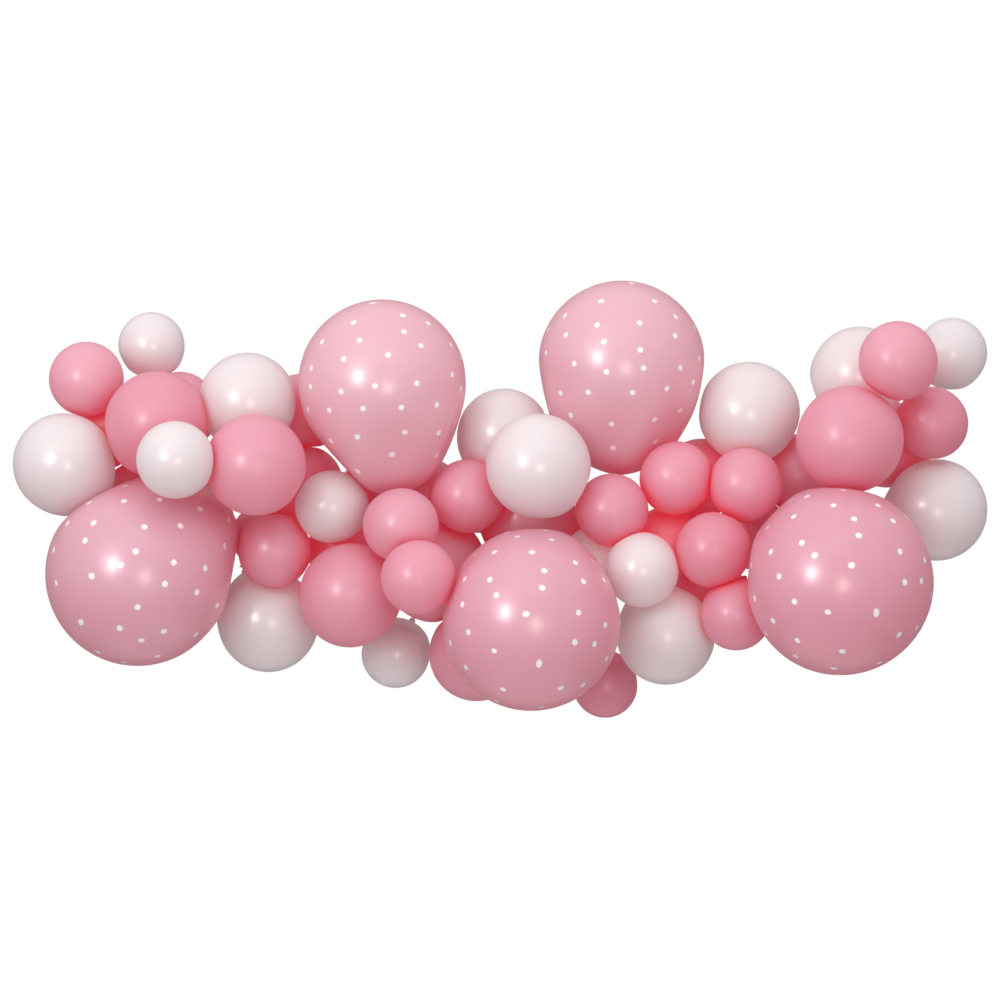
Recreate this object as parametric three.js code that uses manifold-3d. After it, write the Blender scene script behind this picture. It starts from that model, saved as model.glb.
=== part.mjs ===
import * as THREE from 'three';
import { mergeVertices } from 'three/addons/utils/BufferGeometryUtils.js';
import Module from 'manifold-3d';

// Balloon garland: latex balloons tied in clusters to a holed plastic tape that hangs in a shallow bow.
// Millimetres, +Z up, front towards -Y. The origin is on the tape's back face, half way along it.

// Tape: it runs on past its last holes by tapeEnd and is held up at both ends by tapeSag.
const tapeEnd = 42;
const tapeSag = 150;
const tapeWidth = 14;
const tapeThickness = 0.8;
const tapeSteps = 12;
const holeRadius = 3.2;
const holeSides = 6;
const holePitch = 116;

// Fits: balloons press into one another by a share of their radii, and touching skins stay this far apart.
const squeeze = 0.06;
const touchGap = 0.3;

// Knots: a balloon's neck points at its hole and is drawn out in full, or as nearly so as its neighbours
// leave room for. Turning it by turnWorth degrees is as bad as having no drawn-out end at all.
const neckShares = [1, 0.8, 0.6, 0.45, 0.3];
const neckTurns = [0, 8, 16, 24, 32, 40, 50, 60, 70, 80];
const neckTurnSides = 20;
const turnWorth = 100;
const mostForward = -0.05;

// Corners of a lathed profile closer than this are one corner.
const weldDistance = 1e-4;

// Balloon kinds: sides and degrees set the facets, reach is the drawn-out end as a share of the radius.
const kinds = {
  dotted: {
    node: 'dotted_balloon',
    sides: 12,
    degrees: [22, 44, 66, 88, 112, 142],
    fullness: 1.03,
    reach: 1.36,
    neckRadius: 6,
    neckLength: 9,
    knotRadius: 8,
    tailLength: 14,
    finish: { color: 0xe6b4c6, roughness: 0.25, metalness: 0 },
  },
  pink: {
    node: 'pink_balloon',
    sides: 8,
    degrees: [30, 60, 90, 138],
    fullness: 1.045,
    reach: 1.18,
    neckRadius: 5,
    neckLength: 7,
    knotRadius: 7,
    tailLength: 12,
    finish: { color: 0xe896ae, roughness: 0.35, metalness: 0 },
  },
  pearl: {
    node: 'pearl_balloon',
    sides: 8,
    degrees: [30, 60, 90, 138],
    fullness: 1.045,
    reach: 1.18,
    neckRadius: 5,
    neckLength: 7,
    knotRadius: 7,
    tailLength: 12,
    finish: { color: 0xe8dde0, roughness: 0.4, metalness: 0 },
  },
  miniPink: {
    node: 'mini_pink_balloon',
    sides: 8,
    degrees: [30, 60, 90, 138],
    fullness: 1.045,
    reach: 1.14,
    neckRadius: 4,
    neckLength: 6,
    knotRadius: 5.5,
    tailLength: 11,
    finish: { color: 0xe896ae, roughness: 0.35, metalness: 0 },
  },
  miniPearl: {
    node: 'mini_pearl_balloon',
    sides: 8,
    degrees: [30, 60, 90, 138],
    fullness: 1.045,
    reach: 1.14,
    neckRadius: 4,
    neckLength: 6,
    knotRadius: 5.5,
    tailLength: 11,
    finish: { color: 0xe8dde0, roughness: 0.4, metalness: 0 },
  },
};

// One cluster for each hole, from the left. A balloon gives its kind, how far its centre lies from the hole
// along X and Z, its width across, and its layer: 0 lies against the tape and 4 in front. Then follow, where
// they aren't 0, how far from the hole its neck aims along X and Z, and how far its neck holds it off the
// balloons behind it.
const clusters = [
  [
    ['pearl', -59, -26, 162, 1, 70, -50],
    ['miniPink', -25, 110, 120, 2],
    ['miniPink', 6, 28, 115, 0],
    ['miniPink', 50, -66, 90, 0],
  ],
  [
    ['dotted', -55, -158, 294, 3, 140, -70],
    ['pink', -24, 82, 165, 2],
    ['miniPearl', -41, 210, 107, 1],
    ['miniPink', 4, 104, 126, 0],
    ['miniPearl', 12, 23, 122, 4],
  ],
  [
    ['pearl', 3, 152, 156, 1, 30, 0],
    ['pink', 20, 50, 160, 2],
    ['miniPink', 18, -66, 92, 0],
    ['miniPink', 46, -87, 118, 3],
    ['pearl', 33, -202, 162, 1],
  ],
  [
    ['miniPink', -30, 164, 122, 0],
    ['miniPink', -27, 45, 130, 0],
    ['miniPearl', 21, 10, 116, 4],
    ['pink', 53, -130, 164, 3],
    ['miniPink', 40, -62, 122, 0],
  ],
  [
    ['dotted', -13, 224, 268, 2, 105, -620],
    ['miniPink', 19, -2, 118, 3, 0, 0, 40],
    ['miniPink', -44, 60, 80, 0],
  ],
  [
    ['miniPearl', -110, -202, 110, 1],
    ['miniPink', 7, 53, 118, 3],
    ['miniPink', -60, 57, 116, 0],
    ['pearl', 65, 151, 150, 1],
    ['pink', -46, -66, 168, 0],
    ['miniPink', -70, -75, 117, 4],
    ['pink', 21, -200, 152, 1],
  ],
  [
    ['pearl', 3, 101, 166, 4],
    ['dotted', -8, -144, 282, 3],
    ['pink', -12, 15, 160, 0],
  ],
  [
    ['dotted', 22, 256, 268, 2, 18, -230],
    ['miniPink', 5, 22, 117, 3],
    ['miniPink', 18, 0, 100, 0],
    ['miniPink', -3, -262, 104, 1],
    ['miniPearl', -18, -64, 120, 0],
  ],
  [
    ['miniPink', -7, 56, 117, 2],
    ['miniPink', 36, 56, 128, 0],
    ['miniPink', -21, -47, 115, 0],
    ['miniPearl', -64, -91, 117, 4],
    ['pearl', -24, -196, 157, 1, -110, 0],
  ],
  [
    ['pearl', -5, 135, 163, 3],
    ['miniPink', -14, 19, 118, 3],
    ['miniPink', -67, -85, 120, 3],
    ['miniPink', 4, -58, 120, 0],
    ['miniPink', -30, -188, 113, 2],
    ['miniPink', -66, -166, 128, 0],
  ],
  [
    ['dotted', 14, -169, 294, 3, -60, -60],
    ['miniPink', -42, 2, 128, 0],
    ['pink', 33, 56, 170, 3],
    ['pearl', 55, 160, 155, 1],
  ],
  [
    ['miniPink', -13, 6, 140, 0],
    ['miniPink', 52, 39, 116, 2],
    ['miniPink', -8, 137, 124, 4],
    ['miniPearl', 94, 154, 113, 1],
    ['pearl', 63, -100, 163, 1, -38, -62],
  ],
];

const tapeSpan = holePitch * (clusters.length - 1) + 2 * tapeEnd;
const restY = -(tapeThickness + touchGap);
const backward = new THREE.Vector3(0, 1, 0);

function bowHeight(x) {
  return tapeSag * (2 * x / tapeSpan) ** 2;
}

function tapeOutline() {
  const upper = [];
  const lower = [];
  for (let step = 0; step <= tapeSteps; step += 1) {
    const x = tapeSpan * (step / tapeSteps - 0.5);
    upper.push(new THREE.Vector2(x, bowHeight(x) + tapeWidth / 2));
    lower.push(new THREE.Vector2(x, bowHeight(x) - tapeWidth / 2));
  }
  return new THREE.Shape([...lower, ...upper.reverse()]);
}

function holeOutline(hole) {
  const corners = [];
  for (let side = 0; side < holeSides; side += 1) {
    const angle = 2 * Math.PI * side / holeSides;
    const x = hole.x + holeRadius * Math.cos(angle);
    const z = hole.z + holeRadius * Math.sin(angle);
    corners.push(new THREE.Vector2(x, z));
  }
  return new THREE.Path(corners);
}

function makeTape(holes) {
  const outline = tapeOutline();
  for (const hole of holes) {
    outline.holes.push(holeOutline(hole));
  }
  const strip = new THREE.ExtrudeGeometry(outline, { depth: tapeThickness, bevelEnabled: false });
  const plastic = new THREE.MeshStandardMaterial({ color: 0xf2f0ee, roughness: 0.3, metalness: 0 });
  const tape = new THREE.Mesh(strip, plastic);
  tape.name = 'garland_tape';
  tape.rotation.x = Math.PI / 2;
  return tape;
}

// Each balloon slides back until it meets the tape's plane or a balloon laid before it.
function layBalloons(holes) {
  const balloons = [];
  clusters.forEach((cluster, place) => {
    for (const [kindName, offsetX, offsetZ, across, layer, leanX = 0, leanZ = 0, lift = 0] of cluster) {
      const hole = holes[place];
      const centre = new THREE.Vector3(hole.x + offsetX, 0, hole.z + offsetZ);
      const knotAim = new THREE.Vector3(hole.x + leanX, restY, hole.z + leanZ);
      balloons.push({ kind: kinds[kindName], centre, knotAim, radius: across / 2, layer, lift });
    }
  });
  const laid = [];
  for (const balloon of [...balloons].sort((a, b) => a.layer - b.layer)) {
    let y = restY - balloon.radius * (1 - squeeze);
    for (const other of laid) {
      const reach = (balloon.radius + other.radius) * (1 - squeeze);
      const apart = Math.hypot(balloon.centre.x - other.centre.x, balloon.centre.z - other.centre.z);
      if (apart < reach) {
        y = Math.min(y, other.centre.y - Math.sqrt(reach ** 2 - apart ** 2));
      }
    }
    balloon.centre.y = y - balloon.lift;
    laid.push(balloon);
  }
  return balloons;
}

function furthestReach(balloon) {
  const { kind, radius } = balloon;
  return radius * kind.reach + kind.neckLength + kind.tailLength;
}

// Two balloons pressed together meet in proportion to their radii. Open space between them goes to the larger
// one.
function shareOfGap(radius, otherRadius, apart) {
  const open = apart - radius - otherRadius;
  if (open < 0) {
    return apart * radius / (radius + otherRadius) - touchGap / 2;
  }
  const part = radius > otherRadius ? 1 : 0;
  return radius + open * (radius === otherRadius ? 0.5 : part) - touchGap / 2;
}

// Which way the face between two balloons looks, from the first one. Where they don't press on one another it
// tilts, as far as both round bodies allow, to make room for the larger one's neck.
function faceDirection(balloon, other) {
  const straight = other.centre.clone().sub(balloon.centre).normalize();
  const least = (balloon.radius + other.radius) / balloon.centre.distanceTo(other.centre);
  if (least >= 1 || balloon.radius === other.radius) {
    return straight;
  }
  const [larger, smaller] = balloon.radius > other.radius ? [balloon, other] : [other, balloon];
  const neckEnd = larger.knotAim.clone().sub(larger.centre).setLength(furthestReach(larger));
  const neck = new THREE.Line3(larger.centre, neckEnd.add(larger.centre));
  const nearest = neck.closestPointToPoint(smaller.centre, true, new THREE.Vector3());
  const wanted = smaller.centre.clone().sub(nearest).normalize();
  if (larger === other) {
    wanted.negate();
  }
  const along = wanted.dot(straight);
  if (along >= least) {
    return wanted;
  }
  const aside = wanted.addScaledVector(straight, -along).normalize();
  return straight.multiplyScalar(least).addScaledVector(aside, Math.sqrt(1 - least ** 2));
}

// Flat faces that keep a balloon clear of its neighbours and of the tape, each as a direction and a distance
// from its centre.
function contactFaces(balloon, balloons) {
  const faces = [{ direction: backward.clone(), distance: restY - balloon.centre.y }];
  for (const other of balloons) {
    const apart = balloon.centre.distanceTo(other.centre);
    if (other !== balloon && apart < furthestReach(balloon) + furthestReach(other)) {
      const direction = faceDirection(balloon, other);
      const between = other.centre.clone().sub(balloon.centre).dot(direction);
      faces.push({ direction, distance: shareOfGap(balloon.radius, other.radius, between) });
    }
  }
  return faces;
}

function neckRings(kind, radius, share) {
  const start = radius * (1 + (kind.reach - 1) * share);
  const knot = start + kind.neckLength * share;
  return [
    [kind.neckRadius, start],
    [kind.knotRadius, knot],
    [0, knot + kind.tailLength * share],
  ];
}

function neckIsClear(direction, rings, faces) {
  return faces.every((face) => {
    const along = direction.dot(face.direction);
    const aside = Math.sqrt(Math.max(0, 1 - along ** 2));
    return rings.every(([r, height]) => along * height + aside * r < face.distance);
  });
}

function findNeck(balloon, faces) {
  const { kind, radius, centre, knotAim } = balloon;
  const aim = knotAim.clone().sub(centre).normalize();
  const toAim = new THREE.Quaternion().setFromUnitVectors(backward, aim);
  let best = { worth: -Infinity };
  for (const share of neckShares) {
    const rings = neckRings(kind, radius, share);
    for (const turn of neckTurns) {
      const worth = share - turn / turnWorth;
      const tilt = THREE.MathUtils.degToRad(turn);
      for (let side = 0; side < neckTurnSides && worth > best.worth; side += 1) {
        const spin = 2 * Math.PI * side / neckTurnSides;
        const direction = new THREE.Vector3(
          Math.sin(tilt) * Math.cos(spin),
          Math.cos(tilt),
          Math.sin(tilt) * Math.sin(spin),
        ).applyQuaternion(toAim);
        if (direction.y > mostForward && neckIsClear(direction, rings, faces)) {
          best = { worth, direction, rings, share, turn };
        }
      }
    }
  }
  return best;
}

function balloonGeometry(balloon, neck) {
  const { kind, radius } = balloon;
  const full = radius * kind.fullness;
  const profile = [new THREE.Vector2(0, -full)];
  for (const degrees of kind.degrees) {
    const angle = THREE.MathUtils.degToRad(degrees);
    const height = -Math.cos(angle);
    const reach = height < 0 ? 1 : 1 + (kind.reach - 1) * neck.share;
    profile.push(new THREE.Vector2(full * Math.sin(angle), full * reach * height));
  }
  for (const [r, height] of neck.rings) {
    profile.push(new THREE.Vector2(r, height));
  }
  const lathe = new THREE.LatheGeometry(profile, kind.sides);
  lathe.deleteAttribute('normal');
  lathe.deleteAttribute('uv');
  return mergeVertices(lathe, weldDistance);
}

const wasm = await Module();
wasm.setup();

function cutFlat(geometry, faces, turn) {
  const back = turn.clone().invert();
  let solid = new wasm.Manifold(new wasm.Mesh({
    numProp: 3,
    vertProperties: new Float32Array(geometry.attributes.position.array),
    triVerts: new Uint32Array(geometry.index.array),
  }));
  for (const face of faces) {
    const inward = face.direction.clone().applyQuaternion(back).negate();
    solid = solid.trimByPlane(inward.toArray(), -face.distance);
  }
  const mesh = solid.getMesh();
  const cut = new THREE.BufferGeometry();
  cut.setAttribute('position', new THREE.BufferAttribute(mesh.vertProperties, 3));
  cut.setIndex(new THREE.BufferAttribute(mesh.triVerts, 1));
  cut.computeVertexNormals();
  return cut;
}

const holes = clusters.map((cluster, place) => {
  const x = holePitch * (place - (clusters.length - 1) / 2);
  return { x, z: bowHeight(x) };
});
const balloons = layBalloons(holes);
const group = new THREE.Group();
group.add(makeTape(holes));

const counts = new Map();
for (const balloon of balloons) {
  const faces = contactFaces(balloon, balloons);
  const neck = findNeck(balloon, faces);
  const turn = new THREE.Quaternion().setFromUnitVectors(backward, neck.direction);
  const geometry = cutFlat(balloonGeometry(balloon, neck), faces, turn);
  const mesh = new THREE.Mesh(geometry, new THREE.MeshStandardMaterial(balloon.kind.finish));
  const number = (counts.get(balloon.kind) ?? 0) + 1;
  counts.set(balloon.kind, number);
  mesh.name = `${balloon.kind.node}_${number}`;
  mesh.position.copy(balloon.centre);
  mesh.quaternion.copy(turn);
  group.add(mesh);
}

export default group;
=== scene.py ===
import math

import bmesh
import bpy
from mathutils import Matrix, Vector


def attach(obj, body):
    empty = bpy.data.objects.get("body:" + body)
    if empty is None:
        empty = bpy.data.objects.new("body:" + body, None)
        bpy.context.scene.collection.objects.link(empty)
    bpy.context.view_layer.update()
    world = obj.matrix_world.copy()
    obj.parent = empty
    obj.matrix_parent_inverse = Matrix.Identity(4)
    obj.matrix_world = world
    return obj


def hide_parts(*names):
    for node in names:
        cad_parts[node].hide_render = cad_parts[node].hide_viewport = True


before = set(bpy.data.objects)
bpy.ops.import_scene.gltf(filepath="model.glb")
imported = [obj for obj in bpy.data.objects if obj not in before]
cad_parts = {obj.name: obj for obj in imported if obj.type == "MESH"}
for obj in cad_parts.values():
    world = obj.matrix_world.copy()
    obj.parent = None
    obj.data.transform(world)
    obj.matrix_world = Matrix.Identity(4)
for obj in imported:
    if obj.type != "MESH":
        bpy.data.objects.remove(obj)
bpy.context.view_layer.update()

# how the balloons of each size are blown and tied, in metres
dottedShape = {
    "reach": 1.36,  # the drawn-out end, in radii from the middle
    "taper": 0.45,  # how much the end narrows towards the neck
    "neckLength": 0.009,
    "knotRadius": 0.008,
    "tailLength": 0.014,
    "fullness": 1.03,  # the solid's corners stand this far out, in radii
    "rings": [22, 44, 66, 88, 112, 142],  # the solid's rings of corners, in degrees from the crown
    "solidSides": 12,
    "sides": 128,
    "steps": 96,
}
mediumShape = {
    "reach": 1.18,
    "taper": 0.8,
    "neckLength": 0.007,
    "knotRadius": 0.007,
    "tailLength": 0.012,
    "fullness": 1.045,
    "rings": [30, 60, 90, 138],
    "solidSides": 8,
    "sides": 88,
    "steps": 64,
}
miniShape = {
    "reach": 1.14,
    "taper": 0.8,
    "neckLength": 0.006,
    "knotRadius": 0.0055,
    "tailLength": 0.011,
    "fullness": 1.045,
    "rings": [30, 60, 90, 138],
    "solidSides": 8,
    "sides": 72,
    "steps": 52,
}
balloonKinds = {
    "dotted_balloon": {"shape": dottedShape, "slot": "dotted_latex"},
    "pink_balloon": {"shape": mediumShape, "slot": "pink_latex"},
    "pearl_balloon": {"shape": mediumShape, "slot": "pearl_latex"},
    "mini_pink_balloon": {"shape": miniShape, "slot": "pink_latex"},
    "mini_pearl_balloon": {"shape": miniShape, "slot": "pearl_latex"},
}

# the tied end: radius in knot radii and place, 0 at the neck's start, 1 at the knot and 2 at the tip
tiedEnd = {
    "startsAt": 1.2,  # where the skin has narrowed to this many necks
    "outline": [
        (0.52, 0.0),
        (0.46, 0.2),
        (0.5, 0.42),
        (0.78, 0.56),
        (0.98, 0.74),
        (1.0, 0.9),
        (0.84, 1.06),
        (0.55, 1.18),
        (0.46, 1.34),
        (0.56, 1.58),
        (0.74, 1.78),
        (0.9, 1.86),
        (0.98, 1.93),
        (0.9, 2.0),
        (0.74, 1.97),
        (0.6, 1.84),
        (0.4, 1.7),
        (0.0, 1.64),
    ],
}

pressing = {
    "gap": 0.0003,  # between two skins that touch
    "softness": 0.03,  # how roundly a skin turns into its flat
    "from": 0.75,  # a skin starts to turn this far out, in shares of the flat's distance
}

restPlane = -0.0011  # the back of the balloons that lie against the tape

# how closely the corners of a solid have to agree when a balloon is read from it, in metres
reading = {
    "weld": 0.00002,
    "sameEdge": 0.00003,
    "sameHeight": 0.00005,
    "sameRadius": 0.00005,
    "digits": 4,  # radii are compared at this many decimals
}
seamWeld = 0.000002  # joins the first and last rib of a spun skin

# balloons paler, up to 1, or duskier, down to -1, than the others of their colour
tones = {
    "dotted_balloon_2": 0.6,
    "dotted_balloon_4": 0.55,
    "dotted_balloon_3": -0.15,
    "dotted_balloon_5": -0.45,
    "mini_pink_balloon_1": 0.4,
    "mini_pink_balloon_10": 0.25,
    "mini_pink_balloon_17": -0.6,
    "mini_pink_balloon_20": 0.5,
    "mini_pink_balloon_22": -0.45,
    "mini_pink_balloon_28": -0.4,
    "mini_pink_balloon_29": 0.3,
    "pink_balloon_1": -0.25,
    "pink_balloon_7": -0.1,
}

# how far the painted red shade and glow between balloons reach over their skins
paintedShadeAndGlow = {
    "near": 0.007,
    "wide": 0.022,
    "wideShare": 0.08,
    "innerShade": 0.03,  # between several balloons, which shut the white light out
    "open": 0.9,  # balloons this near count as open
    "shut": 2.4,
    "farthest": 0.12,  # balloons beyond this aren't counted
}


# finds a balloon's centre, radius and neck from the corners of its solid
def readBalloon(name, kind):
    shape = kind["shape"]
    solid = bmesh.new()
    solid.from_mesh(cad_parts[name].data)
    bmesh.ops.remove_doubles(solid, verts=solid.verts, dist=reading["weld"])
    tip, knotRing = findTip(solid, shape)
    axis = (tip - sum(knotRing, Vector()) / len(knotRing)).normalized()
    tail = (tip - knotRing[0]).dot(axis)
    share = tail / shape["tailLength"]
    drawn = (shape["reach"] - 1) * share
    tied = (shape["neckLength"] + shape["tailLength"]) * share
    votes = {}
    for vertex in solid.verts:
        height = (tip - vertex.co).dot(axis)
        width = (tip - vertex.co - axis * height).length
        for degrees in shape["rings"]:
            angle = math.radians(degrees)
            radius = width / math.sin(angle) / shape["fullness"]
            below = -math.cos(angle) * radius * shape["fullness"] * (1 + drawn if degrees > 90 else 1)
            if abs(radius * (1 + drawn) + tied - below - height) < reading["sameHeight"]:
                votes.setdefault(round(radius, reading["digits"]), []).append(radius)
    solid.free()
    agreed = max(votes.values(), key=len)
    radius = sum(agreed) / len(agreed)
    return {
        "name": name,
        "kind": kind,
        "centre": tip - axis * (radius * (1 + drawn) + tied),
        "radius": radius,
        "axis": axis,
        "share": share,
    }


# the tail's tip is the corner where the shortest equal edges meet
def findTip(solid, shape):
    best = None
    for vertex in solid.verts:
        lengths = [edge.calc_length() for edge in vertex.link_edges]
        if len(lengths) == shape["solidSides"] and max(lengths) - min(lengths) < reading["sameEdge"]:
            if best is None or lengths[0] < best[0]:
                best = (lengths[0], vertex)
    tip = best[1]
    return tip.co.copy(), [edge.other_vert(tip).co.copy() for edge in tip.link_edges]


def balloonReach(balloon):
    shape = balloon["kind"]["shape"]
    return balloon["radius"] * shape["reach"] + shape["neckLength"] + shape["tailLength"]


# which way the face between two balloons looks: where they don't press, it tilts to leave the larger one's
# neck room
def faceDirection(balloon, other):
    between = other["centre"] - balloon["centre"]
    straight = between.normalized()
    least = (balloon["radius"] + other["radius"]) / between.length
    if least >= 1 or sameSize(balloon, other):
        return straight
    larger, smaller = (balloon, other) if balloon["radius"] > other["radius"] else (other, balloon)
    offset = smaller["centre"] - larger["centre"]
    along = min(max(offset.dot(larger["axis"]), 0), balloonReach(larger))
    wanted = (offset - larger["axis"] * along).normalized()
    if larger is other:
        wanted.negate()
    leaning = wanted.dot(straight)
    if leaning >= least:
        return wanted
    aside = (wanted - straight * leaning).normalized()
    return straight * least + aside * math.sqrt(1 - least**2)


def sameSize(balloon, other):
    return abs(balloon["radius"] - other["radius"]) < reading["sameRadius"]


def openingBetween(balloon, other):
    return (other["centre"] - balloon["centre"]).length - balloon["radius"] - other["radius"]


# where each balloon is pressed flat by its neighbours: a direction and a distance from its centre
def pressedFaces(balloon, balloons):
    faces = [(Vector((0, 1, 0)), restPlane - balloon["centre"].y)]
    for other in balloons:
        between = other["centre"] - balloon["centre"]
        if other is balloon or between.length > balloonReach(balloon) + balloonReach(other):
            continue
        direction = faceDirection(balloon, other)
        radius = balloon["radius"]
        apart = between.dot(direction)
        opening = apart - radius - other["radius"]
        if opening < 0:
            distance = apart * radius / (radius + other["radius"])
        elif sameSize(balloon, other):
            distance = radius + opening / 2
        elif radius > other["radius"]:
            distance = radius + opening
        else:
            distance = radius
        faces.append((direction, distance - pressing["gap"] / 2))
    return faces


def pressPoint(offset, faces):
    softness = pressing["softness"]
    for direction, distance in faces:
        reach = offset.dot(direction) / distance
        if reach > pressing["from"]:
            pressed = 1 - softness * math.log(1 + math.exp((1 - reach) / softness))
            offset = offset * (pressed / reach)
    return offset


# masks for the painted shade and glow, 0 on open skin: how much another balloon touches it, and how much
# balloons all round shut it in
def closeness(point, neighbours):
    touch = 0
    around = 0
    for other in neighbours:
        gap = max(0, (point - other["centre"]).length - other["radius"])
        if gap < paintedShadeAndGlow["farthest"]:
            wide = paintedShadeAndGlow["wideShare"] * math.exp(-gap / paintedShadeAndGlow["wide"])
            touch += wide + (1 - paintedShadeAndGlow["wideShare"]) * math.exp(-gap / paintedShadeAndGlow["near"])
            around += math.exp(-gap / paintedShadeAndGlow["innerShade"])
    shut = (around - paintedShadeAndGlow["open"]) / (paintedShadeAndGlow["shut"] - paintedShadeAndGlow["open"])
    return min(1, touch), min(1, max(0, shut))


# the half outline from crown to tail: radius and height, towards the neck
def balloonOutline(balloon):
    shape = balloon["kind"]["shape"]
    radius = balloon["radius"]
    share = balloon["share"]
    drawn = radius * (1 + (shape["reach"] - 1) * share)
    waist = shape["knotRadius"] * tiedEnd["outline"][0][0]
    outline = [(0.0, -radius)]
    for step in range(1, shape["steps"]):
        angle = math.pi * step / shape["steps"]
        if angle <= math.pi / 2:
            outline.append((radius * math.sin(angle), -radius * math.cos(angle)))
            continue
        lower = angle / (math.pi / 2) - 1
        narrowing = math.cos(lower * math.pi / 2) ** (1 + shape["taper"] * lower**4)
        if radius * narrowing > waist * tiedEnd["startsAt"]:
            outline.append((radius * narrowing, drawn * math.sin(lower * math.pi / 2)))
    neck = shape["neckLength"] * share
    tail = shape["tailLength"] * share
    for width, place in tiedEnd["outline"]:
        height = drawn + neck * min(place, 1) + tail * max(place - 1, 0)
        outline.append((shape["knotRadius"] * width, height))
    return outline


def makeBalloon(balloon, balloons, material):
    shape = balloon["kind"]["shape"]
    work = bmesh.new()
    chain = [work.verts.new((radius, 0, height)) for radius, height in balloonOutline(balloon)]
    edges = [work.edges.new(pair) for pair in zip(chain, chain[1:])]
    bmesh.ops.spin(
        work,
        geom=chain + edges,
        cent=(0, 0, 0),
        axis=(0, 0, 1),
        angle=2 * math.pi,
        steps=shape["sides"],
        use_merge=True,
    )
    bmesh.ops.remove_doubles(work, verts=work.verts, dist=seamWeld)
    place = work.verts.layers.float_vector.new("skinPlace")  # radii from the middle, the crown at +Z
    turn = Vector((0, 0, 1)).rotation_difference(balloon["axis"])
    faces = pressedFaces(balloon, balloons)
    # masks for the painted shade and glow where balloons touch or shut each other in
    touch = work.verts.layers.float.new("touch")
    shut = work.verts.layers.float.new("shut")
    tone = work.verts.layers.float.new("tone")
    others = [other for other in balloons if other is not balloon]
    neighbours = [other for other in others if openingBetween(balloon, other) < paintedShadeAndGlow["farthest"]]
    for vertex in work.verts:
        vertex[place] = (vertex.co / balloon["radius"]) * -1
        vertex.co = balloon["centre"] + pressPoint(turn @ vertex.co, faces)
        vertex[touch], vertex[shut] = closeness(vertex.co, neighbours)
        vertex[tone] = tones.get(balloon["name"], 0)
    bmesh.ops.recalc_face_normals(work, faces=work.faces)
    for face in work.faces:
        face.smooth = True
    mesh = bpy.data.meshes.new(balloon["name"] + "_skin")
    work.to_mesh(mesh)
    work.free()
    mesh.materials.append(material)
    piece = bpy.data.objects.new(balloon["name"] + "_skin", mesh)
    bpy.context.scene.collection.objects.link(piece)
    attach(piece, "root")
    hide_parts(balloon["name"])
    return piece


def newMaterial(name):
    material = bpy.data.materials.new(name)
    material.use_nodes = True
    material.node_tree.nodes.clear()
    return material, material.node_tree


def addNode(tree, kind, values=None, **settings):
    node = tree.nodes.new(kind)
    for key, value in settings.items():
        setattr(node, key, value)
    for key, value in (values or {}).items():
        node.inputs[key].default_value = value
    return node


# sets a socket to a number or colour, or links another node's output to it
def feed(tree, value, socket):
    if isinstance(value, (int, float, tuple)):
        socket.default_value = value
    else:
        tree.links.new(value, socket)


def addMath(tree, operation, *values):
    node = addNode(tree, "ShaderNodeMath", operation=operation)
    for place, value in enumerate(values):
        feed(tree, value, node.inputs[place])
    return node.outputs[0]


def addLength(tree, across, up):
    acrossSquared = addMath(tree, "MULTIPLY", across, across)
    upSquared = addMath(tree, "MULTIPLY", up, up)
    return addMath(tree, "SQRT", addMath(tree, "ADD", acrossSquared, upSquared))


def mixColours(tree, factor, first, second):
    node = addNode(tree, "ShaderNodeMix", data_type="RGBA")
    # the colour sockets of a mix node that also has sockets for numbers and vectors
    feed(tree, factor, node.inputs[0])
    feed(tree, first, node.inputs[6])
    feed(tree, second, node.inputs[7])
    return node.outputs[2]


# what the three latex skins share
latex = {
    "neckFade": 0.7,  # the darkening towards the neck takes this many radii
    "cloudScale": 14.0,
    "cloudDetail": 3.0,
    "cloudRoughness": 0.55,
    "clearBelow": 0.35,  # of the cloud noise
    "cloudyAbove": 0.7,
    "grainScale": 420.0,
    "grainDetail": 2.0,
    "grainStrength": 0.04,
    "grainHeight": 0.0004,
    "smoother": 0.03,  # how far the roughness strays with the clouds
    "rougher": 0.04,
    "sheenRoughness": 0.4,
    "scatterScale": 0.012,
    "ior": 1.5,
}

# latex skins: darker towards the neck, slightly cloudy, with painted red shade and glow where other
# balloons touch or shut them in
pinkSkin = {
    "crown": (0.91, 0.54, 0.68, 1),
    "neck": (0.90, 0.45, 0.59, 1),
    "paleTo": -0.4,  # in radii from the middle, where it starts to darken towards the neck
    "cloud": (0.90, 0.51, 0.65, 1),
    "pale": (0.94, 0.68, 0.80, 1),
    "dusky": (0.80, 0.36, 0.47, 1),
    # painted shade, tinted by red light from the neighbouring balloons, where another balloon touches the
    # skin
    "creaseShade": (0.93, 0.14, 0.22, 1),
    "creaseShadeShare": 0.7,
    # darker painted shade where balloons all round shut the skin in
    "innerShade": (0.95, 0.05, 0.09, 1),
    "innerShadeShare": 0.85,
    "through": (0.98, 0.22, 0.31, 1),
    "throughShare": 0.4,
    # a painted red glow, as emission, where balloons all round shut the skin in
    "paintedGlow": (0.75, 0.07, 0.11, 1),
    "paintedGlowShare": 0.42,
    "roughness": 0.42,
    "coat": 0.22,
    "coatRoughness": 0.24,
    "sheen": 0.12,
    "sheenTint": (1.0, 0.80, 0.84, 1),
    "scatter": 0.1,
    "scatterRadius": (1.0, 0.3, 0.35),
}
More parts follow.
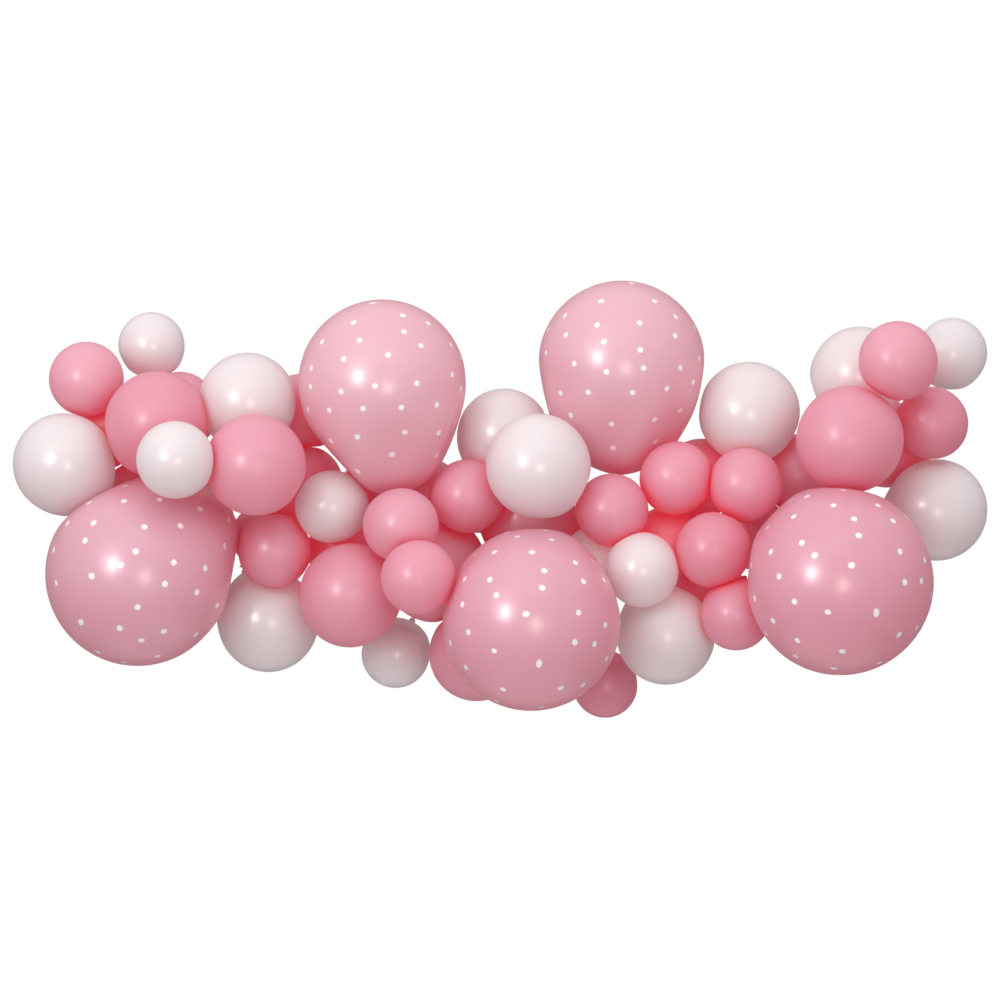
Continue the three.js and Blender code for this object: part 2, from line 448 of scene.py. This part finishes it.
pearlSkin = {
    "crown": (0.92, 0.88, 0.885, 1),
    "neck": (0.91, 0.86, 0.86, 1),
    "paleTo": -0.4,
    "cloud": (0.91, 0.86, 0.87, 1),
    "pale": (0.95, 0.93, 0.93, 1),
    "dusky": (0.84, 0.77, 0.78, 1),
    # painted shade, tinted by pink light from the neighbouring balloons, where another balloon touches the
    # skin
    "creaseShade": (0.93, 0.70, 0.73, 1),
    "creaseShadeShare": 0.2,
    # darker painted shade where balloons all round shut the skin in
    "innerShade": (0.94, 0.66, 0.69, 1),
    "innerShadeShare": 0.4,
    "through": (0.97, 0.88, 0.89, 1),
    "throughShare": 0.28,
    # a painted pink glow, as emission, where balloons all round shut the skin in
    "paintedGlow": (0.80, 0.52, 0.55, 1),
    "paintedGlowShare": 0.25,
    "roughness": 0.34,
    "coat": 0.35,
    "coatRoughness": 0.22,
    "sheen": 0.1,
    "sheenTint": (1.0, 0.95, 0.95, 1),
    "scatter": 0.1,
    "scatterRadius": (1.0, 0.7, 0.7),
}
dottedSkin = {
    "crown": (0.89, 0.57, 0.69, 1),
    "neck": (0.90, 0.54, 0.64, 1),
    "paleTo": -0.75,
    "cloud": (0.87, 0.54, 0.66, 1),
    "pale": (0.96, 0.74, 0.83, 1),
    "dusky": (0.85, 0.43, 0.56, 1),
    # painted shade, tinted by red light from the neighbouring balloons, where another balloon touches the
    # skin
    "creaseShade": (0.93, 0.30, 0.40, 1),
    "creaseShadeShare": 0.35,
    # darker painted shade where balloons all round shut the skin in
    "innerShade": (0.95, 0.30, 0.38, 1),
    "innerShadeShare": 0.3,
    "through": (0.98, 0.30, 0.40, 1),
    "throughShare": 0.36,
    # a painted red glow, as emission, where balloons all round shut the skin in
    "paintedGlow": (0.80, 0.28, 0.34, 1),
    "paintedGlowShare": 0.3,
    "roughness": 0.36,
    "coat": 0.75,
    "coatRoughness": 0.26,
    "sheen": 0.2,
    "sheenTint": (1.0, 0.86, 0.90, 1),
    "scatter": 0.1,
    "scatterRadius": (1.0, 0.4, 0.5),
    "dotColour": (0.97, 0.94, 0.95, 1),
    "dotRadius": 0.034,  # in balloon radii
    "dotEdge": 0.009,
    # rings of dots: degrees above the widest ring, dots round it, first dot in parts of a step
    "dotRings": [
        (86, 1, 0.0),
        (62, 5, 0.3),
        (43, 9, 0.1),
        (27, 11, 0.6),
        (9, 13, 0.2),
        (-9, 13, 0.7),
        (-28, 12, 0.1),
        (-47, 9, 0.5),
    ],
    "dotWander": 0.075,  # how far a dot strays from its place, in radians
    "dotSeed": 0.5,
    "dotSeedStep": 17.3,  # from one ring to the next
}


def addDots(tree, skin, place):
    split = addNode(tree, "ShaderNodeSeparateXYZ")
    tree.links.new(place, split.inputs[0])
    x, y, z = split.outputs
    flat = addLength(tree, x, y)
    height = addMath(tree, "ARCTAN2", z, flat)
    around = addMath(tree, "ARCTAN2", y, x)
    nearest = None
    for number, (degrees, count, start) in enumerate(skin["dotRings"]):
        step = 2 * math.pi / count
        turns = addMath(tree, "ADD", addMath(tree, "DIVIDE", around, step), start + count)
        which = addMath(tree, "FLOORED_MODULO", addMath(tree, "FLOOR", turns), count)
        noise = addNode(tree, "ShaderNodeTexWhiteNoise", noise_dimensions="1D")
        seed = number * skin["dotSeedStep"] + skin["dotSeed"]
        tree.links.new(addMath(tree, "ADD", which, seed), noise.inputs["W"])
        strays = addNode(tree, "ShaderNodeSeparateColor")
        tree.links.new(noise.outputs["Color"], strays.inputs[0])
        wander = skin["dotWander"]
        strayAround = addMath(tree, "MULTIPLY_ADD", strays.outputs[0], 2 * wander, -wander)
        strayUp = addMath(tree, "MULTIPLY_ADD", strays.outputs[1], 2 * wander, -wander)
        beside = addMath(tree, "MULTIPLY_ADD", addMath(tree, "FRACT", turns), step, -step / 2)
        beside = addMath(tree, "SUBTRACT", beside, strayAround)
        beside = addMath(tree, "MULTIPLY", beside, math.cos(math.radians(degrees)))
        above = addMath(tree, "SUBTRACT", height, math.radians(degrees))
        above = addMath(tree, "SUBTRACT", above, strayUp)
        away = addLength(tree, beside, above)
        nearest = away if nearest is None else addMath(tree, "MINIMUM", nearest, away)
    edge = addNode(
        tree,
        "ShaderNodeMapRange",
        {"From Min": skin["dotRadius"] + skin["dotEdge"], "From Max": skin["dotRadius"] - skin["dotEdge"]},
        interpolation_type="SMOOTHSTEP",
    )
    tree.links.new(nearest, edge.inputs["Value"])
    return edge.outputs["Result"]


def makeLatex(name, skin):
    material, tree = newMaterial(name)
    place = addNode(tree, "ShaderNodeAttribute", attribute_name="skinPlace").outputs["Vector"]
    coordinates = addNode(tree, "ShaderNodeTexCoord").outputs["Object"]
    split = addNode(tree, "ShaderNodeSeparateXYZ")
    tree.links.new(place, split.inputs[0])
    towardsNeck = addNode(
        tree,
        "ShaderNodeMapRange",
        {"From Min": skin["paleTo"], "From Max": skin["paleTo"] - latex["neckFade"]},
        interpolation_type="SMOOTHSTEP",
    )
    tree.links.new(split.outputs["Z"], towardsNeck.inputs["Value"])
    clouds = addNode(
        tree,
        "ShaderNodeTexNoise",
        {
            "Scale": latex["cloudScale"],
            "Detail": latex["cloudDetail"],
            "Roughness": latex["cloudRoughness"],
        },
    )
    tree.links.new(coordinates, clouds.inputs["Vector"])
    cloudy = addNode(
        tree,
        "ShaderNodeMapRange",
        {"From Min": latex["clearBelow"], "From Max": latex["cloudyAbove"]},
    )
    tree.links.new(clouds.outputs["Fac"], cloudy.inputs["Value"])
    colour = mixColours(tree, cloudy.outputs["Result"], skin["crown"], skin["cloud"])
    colour = mixColours(tree, towardsNeck.outputs["Result"], colour, skin["neck"])
    tone = addNode(tree, "ShaderNodeAttribute", attribute_name="tone").outputs["Fac"]
    colour = mixColours(tree, addMath(tree, "MAXIMUM", tone, 0), colour, skin["pale"])
    dusk = addMath(tree, "MULTIPLY", tone, -1)
    colour = mixColours(tree, addMath(tree, "MAXIMUM", dusk, 0), colour, skin["dusky"])
    # painted shade, tinted by red light from the neighbouring balloons, where other balloons touch the
    # skin
    touch = addNode(tree, "ShaderNodeAttribute", attribute_name="touch").outputs["Fac"]
    colour = mixColours(tree, addMath(tree, "MULTIPLY", touch, skin["creaseShadeShare"]), colour, skin["creaseShade"])
    # darker painted shade where balloons all round shut the skin in
    shut = addNode(tree, "ShaderNodeAttribute", attribute_name="shut").outputs["Fac"]
    colour = mixColours(tree, addMath(tree, "MULTIPLY", shut, skin["innerShadeShare"]), colour, skin["innerShade"])
    thinness = skin["throughShare"]
    if "dotRings" in skin:
        dots = addDots(tree, skin, place)
        colour = mixColours(tree, dots, colour, skin["dotColour"])
        # the ink lets no light through
        thinness = addMath(tree, "MULTIPLY", addMath(tree, "SUBTRACT", 1, dots), thinness)
    grain = addNode(
        tree,
        "ShaderNodeTexNoise",
        {"Scale": latex["grainScale"], "Detail": latex["grainDetail"]},
    )
    tree.links.new(coordinates, grain.inputs["Vector"])
    bump = addNode(
        tree,
        "ShaderNodeBump",
        {"Strength": latex["grainStrength"], "Distance": latex["grainHeight"]},
    )
    tree.links.new(grain.outputs["Fac"], bump.inputs["Height"])
    gloss = addNode(
        tree,
        "ShaderNodeMapRange",
        {"To Min": skin["roughness"] - latex["smoother"], "To Max": skin["roughness"] + latex["rougher"]},
    )
    tree.links.new(clouds.outputs["Fac"], gloss.inputs["Value"])
    shader = addNode(
        tree,
        "ShaderNodeBsdfPrincipled",
        {
            "Coat Weight": skin["coat"],
            "Coat Roughness": skin["coatRoughness"],
            "Sheen Weight": skin["sheen"],
            "Sheen Roughness": latex["sheenRoughness"],
            "Sheen Tint": skin["sheenTint"],
            "Subsurface Weight": skin["scatter"],
            "Subsurface Radius": skin["scatterRadius"],
            "Subsurface Scale": latex["scatterScale"],
            "IOR": latex["ior"],
            "Emission Color": skin["paintedGlow"],
        },
    )
    # a painted glow, as emission, where balloons all round shut the skin in
    paintedGlow = addMath(tree, "MULTIPLY", shut, skin["paintedGlowShare"])
    tree.links.new(paintedGlow, shader.inputs["Emission Strength"])
    tree.links.new(colour, shader.inputs["Base Color"])
    tree.links.new(gloss.outputs["Result"], shader.inputs["Roughness"])
    tree.links.new(bump.outputs["Normal"], shader.inputs["Normal"])
    through = addNode(tree, "ShaderNodeBsdfTranslucent", {"Color": skin["through"]})
    thin = addNode(tree, "ShaderNodeMixShader")
    feed(tree, thinness, thin.inputs[0])
    tree.links.new(shader.outputs[0], thin.inputs[1])
    tree.links.new(through.outputs[0], thin.inputs[2])
    output = addNode(tree, "ShaderNodeOutputMaterial")
    tree.links.new(thin.outputs[0], output.inputs["Surface"])
    return material


tapePlastic = {
    "clear": (0.90, 0.90, 0.89, 1),
    "milky": (0.80, 0.81, 0.81, 1),
    "roughness": 0.28,
    "streakScale": 60.0,
    "streakDetail": 4.0,
    "streakStretch": (0.15, 1.0, 1.0),
    "streakStrength": 0.1,
    "streakHeight": 0.0002,
    "scatter": 0.3,
    "scatterScale": 0.002,
}


def makeTapePlastic():
    material, tree = newMaterial("tapePlastic")
    coordinates = addNode(tree, "ShaderNodeTexCoord").outputs["Object"]
    streaks = addNode(
        tree,
        "ShaderNodeTexNoise",
        {"Scale": tapePlastic["streakScale"], "Detail": tapePlastic["streakDetail"]},
    )
    stretch = addNode(tree, "ShaderNodeMapping", {"Scale": tapePlastic["streakStretch"]})
    tree.links.new(coordinates, stretch.inputs["Vector"])
    tree.links.new(stretch.outputs["Vector"], streaks.inputs["Vector"])
    colour = mixColours(tree, streaks.outputs["Fac"], tapePlastic["clear"], tapePlastic["milky"])
    bump = addNode(
        tree,
        "ShaderNodeBump",
        {"Strength": tapePlastic["streakStrength"], "Distance": tapePlastic["streakHeight"]},
    )
    tree.links.new(streaks.outputs["Fac"], bump.inputs["Height"])
    shader = addNode(
        tree,
        "ShaderNodeBsdfPrincipled",
        {
            "Roughness": tapePlastic["roughness"],
            "Subsurface Weight": tapePlastic["scatter"],
            "Subsurface Scale": tapePlastic["scatterScale"],
        },
    )
    tree.links.new(colour, shader.inputs["Base Color"])
    tree.links.new(bump.outputs["Normal"], shader.inputs["Normal"])
    output = addNode(tree, "ShaderNodeOutputMaterial")
    tree.links.new(shader.outputs[0], output.inputs["Surface"])
    return material


def dressTape():
    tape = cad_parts["garland_tape"]
    tape.data.materials.clear()
    tape.data.materials.append(makeTapePlastic())


# studio: a white room, brightest in front and above, a soft light on the left, one above and two that only
# show as highlights
studio = {
    "floorHeight": -2.5,
    "floorSize": 3.5,
    "floorColour": (0.86, 0.86, 0.86, 1),
    "roomDim": 0.24,  # from below and behind
    "roomDimColour": (1.0, 0.87, 0.89, 1),
    "roomBright": 1.08,  # from the bright side
    "roomBrightColour": (1.0, 0.995, 0.99, 1),
    "roomBrightSide": (-0.10, -0.62, 0.78),
    "roomDimBelow": -0.7,  # here and in the next, 1 looks at the bright side and -1 away from it
    "roomBrightAbove": 0.9,
    "backdropColour": (1, 1, 1, 1),
    "backdropStrength": 1.0,
    "cameraPlace": (0.0, -9.15, 0.0488),
    "cameraLens": 202.7,
    "sensor": 36.0,
    "cameraReach": 50,
    "lights": [
        {
            "name": "keyLight",
            "place": (-3.0, -3.6, 2.0),
            "size": (2.2, 2.2),
            "power": 31,
            "colour": (1.0, 0.99, 0.99),
        },
        {
            "name": "topLight",
            "place": (-0.2, -2.0, 1.7),
            "size": (2.4, 1.4),
            "power": 10,
            "colour": (1.0, 0.99, 1.0),
        },
        {
            "name": "keyGlint",
            "place": (-2.9, -4.6, 0.95),
            "size": (0.7, 1.2),
            "power": 190,
            "colour": (0.98, 0.97, 1.0),
            "glossOnly": True,
        },
        {
            "name": "warmGlint",
            "place": (0.55, -5.2, -0.35),
            "size": (0.9, 1.1),
            "power": 62,
            "colour": (1.0, 0.90, 0.82),
            "glossOnly": True,
        },
    ],
    "aim": (0.0, -0.2, 0.05),
}


def makeFloor():
    work = bmesh.new()
    bmesh.ops.create_grid(work, x_segments=1, y_segments=1, size=studio["floorSize"] / 2)
    for vertex in work.verts:
        vertex.co.z = studio["floorHeight"]
    mesh = bpy.data.meshes.new("studioFloor")
    work.to_mesh(mesh)
    work.free()
    material, tree = newMaterial("floorPaint")
    shader = addNode(tree, "ShaderNodeBsdfDiffuse", {"Color": studio["floorColour"]})
    output = addNode(tree, "ShaderNodeOutputMaterial")
    tree.links.new(shader.outputs[0], output.inputs["Surface"])
    mesh.materials.append(material)
    floor = bpy.data.objects.new("studioFloor", mesh)
    bpy.context.scene.collection.objects.link(floor)


def makeRoom():
    world = bpy.data.worlds.new("studioRoom")
    bpy.context.scene.world = world
    world.use_nodes = True
    tree = world.node_tree
    tree.nodes.clear()
    seen = addNode(tree, "ShaderNodeLightPath").outputs["Is Camera Ray"]
    direction = addNode(tree, "ShaderNodeTexCoord").outputs["Generated"]
    facing = addNode(tree, "ShaderNodeVectorMath", operation="DOT_PRODUCT")
    tree.links.new(direction, facing.inputs[0])
    facing.inputs[1].default_value = studio["roomBrightSide"]
    bright = addNode(
        tree,
        "ShaderNodeMapRange",
        {"From Min": studio["roomDimBelow"], "From Max": studio["roomBrightAbove"]},
        interpolation_type="SMOOTHSTEP",
    )
    tree.links.new(facing.outputs["Value"], bright.inputs["Value"])
    share = bright.outputs["Result"]
    dim = studio["roomDim"]
    strength = addMath(tree, "MULTIPLY_ADD", share, studio["roomBright"] - dim, dim)
    colour = mixColours(tree, share, studio["roomDimColour"], studio["roomBrightColour"])
    light = addNode(tree, "ShaderNodeBackground")
    tree.links.new(colour, light.inputs["Color"])
    tree.links.new(strength, light.inputs["Strength"])
    backdrop = addNode(
        tree,
        "ShaderNodeBackground",
        {"Color": studio["backdropColour"], "Strength": studio["backdropStrength"]},
    )
    mix = addNode(tree, "ShaderNodeMixShader")
    tree.links.new(seen, mix.inputs[0])
    tree.links.new(light.outputs[0], mix.inputs[1])
    tree.links.new(backdrop.outputs[0], mix.inputs[2])
    output = addNode(tree, "ShaderNodeOutputWorld")
    tree.links.new(mix.outputs[0], output.inputs["Surface"])


def makeLights():
    for look in studio["lights"]:
        light = bpy.data.lights.new(look["name"], "AREA")
        light.shape = "RECTANGLE"
        light.size, light.size_y = look["size"]
        light.energy = look["power"]
        light.color = look["colour"]
        lamp = bpy.data.objects.new(look["name"], light)
        lamp.location = look["place"]
        lamp.visible_diffuse = not look.get("glossOnly", False)
        aim = Vector(studio["aim"]) - Vector(look["place"])
        lamp.rotation_euler = aim.to_track_quat("-Z", "Y").to_euler()
        bpy.context.scene.collection.objects.link(lamp)


def makeCamera():
    lens = bpy.data.cameras.new("photoCamera")
    lens.lens = studio["cameraLens"]
    lens.sensor_width = studio["sensor"]
    lens.clip_end = studio["cameraReach"]
    camera = bpy.data.objects.new("photoCamera", lens)
    camera.location = studio["cameraPlace"]
    camera.rotation_euler = (math.pi / 2, 0, 0)
    bpy.context.scene.collection.objects.link(camera)
    bpy.context.scene.camera = camera


bpy.context.scene.view_settings.view_transform = "Standard"
makeCamera()
makeRoom()
makeLights()
makeFloor()
print("studio ready")

skins = {
    "dotted_latex": makeLatex("dottedLatex", dottedSkin),
    "pink_latex": makeLatex("pinkLatex", pinkSkin),
    "pearl_latex": makeLatex("pearlLatex", pearlSkin),
}
print("latex mixed")

balloons = []
for nodeName in sorted(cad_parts):
    kindName = nodeName.rsplit("_", 1)[0]
    if kindName in balloonKinds:
        balloons.append(readBalloon(nodeName, balloonKinds[kindName]))
for balloon in balloons:
    makeBalloon(balloon, balloons, skins[balloon["kind"]["slot"]])
print("balloons blown:", len(balloons))

dressTape()
print("tape dressed")
